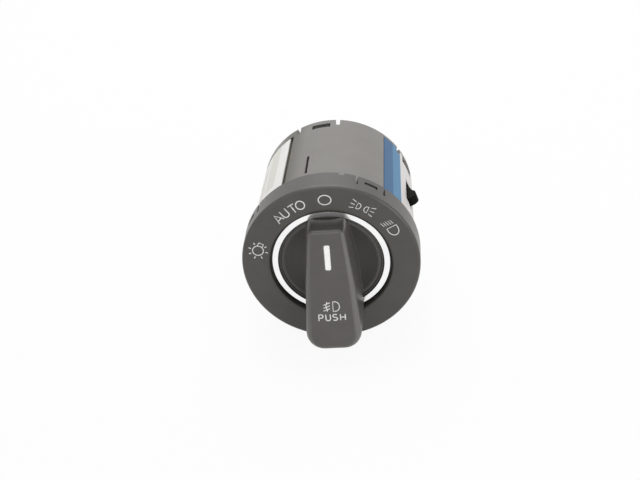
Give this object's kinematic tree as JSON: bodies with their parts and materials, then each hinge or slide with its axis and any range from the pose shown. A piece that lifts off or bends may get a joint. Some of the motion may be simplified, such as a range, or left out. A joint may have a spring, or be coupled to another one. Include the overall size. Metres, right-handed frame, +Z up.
{
  "type": "headlight switch",
  "caption": "Rotary dashboard headlight switch: round bezel with lamp symbols, bright ring, wedge-shaped turning knob that also pushes in, deep round housing with side clips and a rear connector socket.",
  "frame": {"origin": "on the switch's axis, in the plane of the bezel's rear face, which seats on the dashboard panel", "axes": "+Y runs along the axis into the dashboard, the knob looks along -Y; +Z is up, where the off position is; +X is to the right as the driver sees it"},
  "size_m": [0.064, 0.0771, 0.064],
  "materials": {
    "housing_plastic": "moulded grey glass-filled nylon, fine matt grain",
    "cover_plastic": "moulded dark grey plastic",
    "bezel_plastic": "moulded dark grey plastic, soft satin paint",
    "clear_plastic": "clear moulded acrylic",
    "knob_plastic": "moulded dark grey plastic, soft satin paint",
    "bright_ring": "plated plastic, satin chrome",
    "white_plastic": "white translucent moulding",
    "natural_plastic": "natural acetal moulding",
    "grey_acetal": "grey acetal moulding",
    "spring_steel": "bright drawn spring steel",
    "brown_plastic": "moulded phenolic",
    "contact_brass": "stamped contact brass",
    "board_laminate": "green coated laminate",
    "screw_steel": "zinc-plated steel",
    "black_plastic": "moulded black plastic",
    "lamp_body": "small surface lamp",
    "component_body": "moulded component bodies",
    "clip_plastic": "moulded near-black spring plastic",
    "label_paper": "coated self-adhesive label"
  },
  "bodies": {
    "switch_body": {"housing": "housing_plastic", "rear_cover": "cover_plastic", "bezel": "bezel_plastic", "bezel_light_guide": "clear_plastic", "detent_spring": "spring_steel", "circuit_board": "board_laminate", "board_screws": "screw_steel", "fog_switch": "black_plastic", "terminal_pins": "contact_brass", "board_lamps": "lamp_body", "board_components": "component_body", "side_clip_right": "clip_plastic", "side_clip_left": "clip_plastic", "label_right": "label_paper", "label_left": "label_paper"},
    "rotor_unit": {"rotor": "grey_acetal", "rotor_retaining_ring": "spring_steel", "contact_carrier": "brown_plastic", "wiper_contacts": "contact_brass", "return_spring": "spring_steel"},
    "knob_unit": {"knob": "knob_plastic", "knob_ring": "bright_ring", "pointer_lens": "white_plastic", "knob_sleeve": "natural_plastic"},
    "fog_plunger": {"fog_switch_plunger": "natural_plastic"}
  },
  "joints": [
    {"name": "knob_turn", "type": "hinge", "parent": "switch_body", "child": "rotor_unit", "pos_m": [0, 0, 0], "axis": [0, 1, 0], "range_deg": [-30, 60], "deforming": ["detent_spring"]},
    {"name": "knob_push", "type": "slide", "parent": "rotor_unit", "child": "knob_unit", "axis": [0, 1, 0], "range_m": [0, 0.002], "stiffness_N_per_m": 1500, "springref_m": -0.003, "deforming": ["return_spring"]},
    {"name": "fog_plunger_push", "type": "slide", "parent": "switch_body", "child": "fog_plunger", "axis": [0, 1, 0], "range_m": [0, 0.002], "stiffness_N_per_m": 300, "springref_m": -0.001}
  ],
  "couplings": [
    {"joint": "fog_plunger_push", "follows": "knob_push", "ratio": 1}
  ]
}
